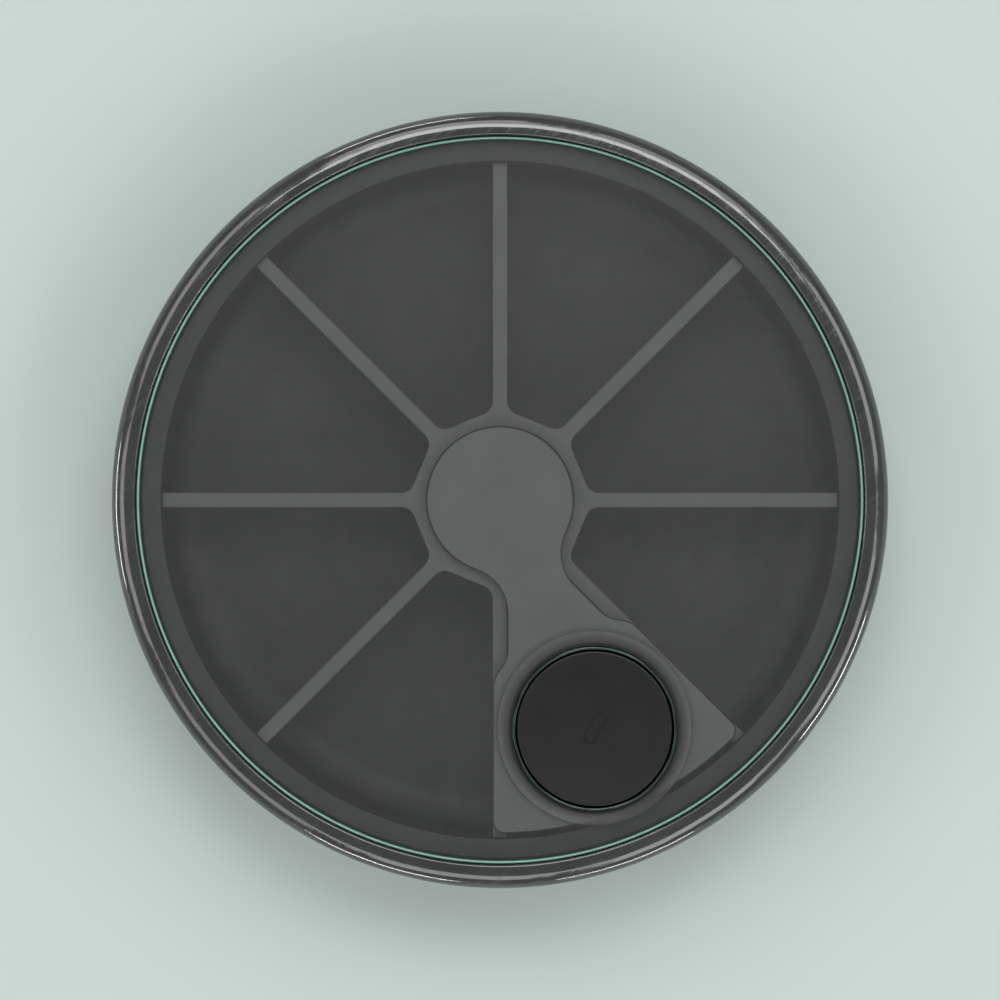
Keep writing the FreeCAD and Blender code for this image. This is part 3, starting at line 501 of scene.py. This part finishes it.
def make_grip(look):
    """Rubber ring let into the base, with three grooves between its ribs underneath."""
    outer, low, high = GRIP.radius, GRIP.low, GRIP.high
    inner, depth, rib_width = outer - GRIP_WIDTH, 0.35, 0.75
    edge, root = 0.12, 0.08
    corners = [(inner, high), (inner, low, edge)]
    for groove in range(3):
        start = inner + rib_width * (2 * groove + 1)
        corners += [
            (start, low, edge), (start, low + depth, root),
            (start + rib_width, low + depth, root), (start + rib_width, low, edge),
        ]
    corners += [(outer, low, edge), (outer, high)]
    stand_for(lathe("grip_foot", corners), "grip_ring", "base", look)


def make_edge_seal(look):
    """Pale silicone bead round the window's edge."""
    outer, low, high = EDGE_SEAL.radius, EDGE_SEAL.low, EDGE_SEAL.high
    width, crown = 0.35, 0.17
    inner = outer - width
    corners = [(inner, low), (outer, low), (outer, high, crown), (inner, high, crown)]
    stand_for(lathe("edge_bead", corners), "lid_edge_seal", "lid", look)


def make_liner(lip_look, flange_look):
    """Port liner: polished tube with a rolled lip, and the flange that holds it to the window."""
    low, high, flange = LINER.low, LINER.high, LINER.radius
    bore, tube = 10.15, 10.6
    flange_low, flange_high = low + 1.6, low + 2.2
    edge, roll = 0.1, 0.22
    corners = [
        (bore, low), (tube, low), (tube, flange_low), (flange, flange_low, edge),
        (flange, flange_high, edge), (tube, flange_high), (tube, high, roll), (bore, high, roll),
    ]
    piece = lathe("port_lip", corners, PORT)
    stand_for(piece, "port_liner", "lid", lip_look)
    piece.data.materials.append(flange_look)
    slack = 0.02
    for face in piece.data.polygons:
        reach = (face.center.xy / MM - Vector(PORT)).length
        if reach > tube + slack:
            face.material_index = 1


def seen_from_port(radius, level):
    """A ring round the case's axis, its points in even directions as seen from the port."""
    port = Vector(PORT)
    points = []
    for step in range(SEGMENTS):
        angle = TURN * step / SEGMENTS
        way = Vector((math.cos(angle), math.sin(angle)))
        along = port.dot(way)
        reach = math.sqrt(along ** 2 + radius ** 2 - port.length_squared) - along
        points.append(Vector((*(port + way * reach), level)) * MM)
    return points


def make_window(look):
    """Window of the lid: a stepped disc with a port hole, a finger dish round it above, and
    a recess for the port's flange below."""
    ledge, low, high = WINDOW.radius, WINDOW.low + FILM, WINDOW.high
    disc, ledge_top, edge, ledge_edge = ledge - 0.3, WINDOW.low + 0.6, 0.3, 0.1
    hole, recess, recess_top = 10.65, LINER.radius + 0.05, WINDOW.low + 0.8 + FILM
    dish, dish_depth = 13.2, 0.55
    dish_round = ((dish - hole) ** 2 + dish_depth ** 2) / (2 * dish_depth)
    rings = [ring(hole, recess_top, PORT), ring(recess, recess_top, PORT), ring(recess, low, PORT)]
    outline = rounded([
        (ledge - 1, low), (ledge, low, ledge_edge), (ledge, ledge_top, ledge_edge),
        (disc, ledge_top), (disc, high, edge), (disc - 1, high),
    ])
    rings += [seen_from_port(point.x, point.y) for point in outline]
    steps = 10
    for step in range(steps + 1):
        radius = dish - (dish - hole) * step / steps
        drop = dish_round - math.sqrt(dish_round ** 2 - (dish - radius) ** 2)
        rings.append(ring(radius, high - drop, PORT))
    stand_for(skin("window_disc", rings), "lid_window", "lid", look)


def make_spring(look):
    """Button spring: a steel coil in the place of the CAD spring, on the port cap's body."""
    wire, turns, travel = 0.25, 3, 0.8
    piece = coil("button_coil", SPRING, wire, turns)
    stand_for(piece, "button_spring", "port_cap", look)
    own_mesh(piece)


# ------------------------------------------------------------------ stage

def aim(thing, target=(0, 0, 0)):
    way = Vector(target) - thing.location
    thing.rotation_mode = "QUATERNION"
    thing.rotation_quaternion = way.to_track_quat("-Z", "Y")


def softbox(name, azimuth, off_vertical, distance, width, height, radiance):
    """A rectangular lamp that faces the case, width along the horizon. Angles in degrees, the
    distance and the sides in metres."""
    around, down = math.radians(azimuth), math.radians(off_vertical)
    lamp = bpy.data.lights.new(name, "AREA")
    lamp.shape = "RECTANGLE"
    lamp.size, lamp.size_y = width, height
    lamp.energy = radiance * math.pi * width * height
    box = bpy.data.objects.new(name, lamp)
    across = math.sin(down)
    box.location = Vector((across * math.cos(around), across * math.sin(around), math.cos(down))) * distance
    bpy.context.scene.collection.objects.link(box)
    aim(box)
    box.visible_camera = False
    return box


def make_floor():
    shape = bmesh.new()
    bmesh.ops.create_circle(shape, cap_ends=True, segments=64, radius=6)
    mesh = bpy.data.meshes.new("floor")
    shape.to_mesh(mesh)
    shape.free()
    floor = bpy.data.objects.new("floor", mesh)
    bpy.context.scene.collection.objects.link(floor)
    look = Look("floor_paper", (0.40, 0.46, 0.44), 0.85)
    look.drive("Roughness", look.between(look.noise(30), 0.8, 0.9))
    floor.data.materials.append(look.material)


def make_world():
    world = bpy.data.worlds.new("studio")
    world.use_nodes = True
    background = world.node_tree.nodes["Background"]
    background.inputs["Color"].default_value = (0.93, 1.0, 0.97, 1)
    background.inputs["Strength"].default_value = 0.32
    bpy.context.scene.world = world


def make_lights():
    """A broken ring of softboxes overhead, low strips round the horizon, and a fill from the far
    side. Each box is given by its azimuth and radiance."""
    overhead = (
        (20, 2.7), (62, 1.9), (100, 2.6), (145, 2.1), (186, 2.3),
        (225, 1.9), (262, 2.6), (300, 3.2), (338, 2.8),
    )
    low_strips = ((105, 12), (183, 20), (252, 18), (290, 16), (332, 24))
    distance = 0.9
    for azimuth, radiance in overhead:
        softbox(f"over_{azimuth}", azimuth, 44, distance, 0.36, 0.40, radiance)
    for azimuth, radiance in low_strips:
        softbox(f"side_{azimuth}", azimuth, 88, distance, 0.34, 0.07, radiance)
    softbox("fill_far", azimuth=82, off_vertical=22, distance=1.3, width=0.7, height=0.40, radiance=6.2)


def make_camera():
    """Straight down on the rim, with the case a little under eight tenths of the frame wide."""
    frame_width, lens, sensor = 0.1283, 180, 36
    data = bpy.data.cameras.new("overhead")
    data.lens = lens
    data.sensor_width = sensor
    camera = bpy.data.objects.new("overhead", data)
    camera.location = (0, 0, RIM.high * MM + frame_width * lens / sensor)
    bpy.context.scene.collection.objects.link(camera)
    bpy.context.scene.camera = camera


def finishes():
    """Finishes of the CAD nodes that stay, by node."""
    dark = silicone("silicone_dark", (0.02, 0.02, 0.021), (0.035, 0.035, 0.036), 0.5)
    black = moulded("plastic_black", (0.014, 0.014, 0.015), (0.024, 0.024, 0.025)).material
    plate = plate_grey()
    white = acetal()
    spring = steel("steel_spring", (0.5, 0.5, 0.51), 0.28, 0.05)
    screw = steel("steel_screw", (0.45, 0.46, 0.47), 0.35, 0.08)
    return {
        "divider": divider_grey(), "rotor_plate": plate, "drive_socket": plate,
        "hub_bush": white, "spindle": white, "spindle_screw": screw, "spindle_washer": spring,
        "click_spring": spring, "button_clip": spring,
        "liner_gasket": dark, "port_wiper": dark, "cap_seal": dark,
        "cap_body": black, "cap_plug": black, "button_disc": soft_touch(),
    }


case_look = smoke_case()
make_case(case_look)
make_rim(case_look)
make_tray(tray_grey())
make_grip(grip_rubber())
mint, pale_mint = (0.16, 0.37, 0.31), (0.26, 0.48, 0.42)
make_edge_seal(silicone("silicone_mint", mint, pale_mint, 0.25, Coat_Weight=0.4))
make_liner(liner_lip(), liner_flange())
make_window(smoke_window())
make_spring(steel("steel_wire", (0.5, 0.5, 0.51), 0.25, 0.05))
for node, look in finishes().items():
    dress(node, look)

make_floor()
make_world()
make_lights()
make_camera()
bpy.context.scene.view_settings.view_transform = "Standard"
bpy.context.scene.cycles.use_denoising = True
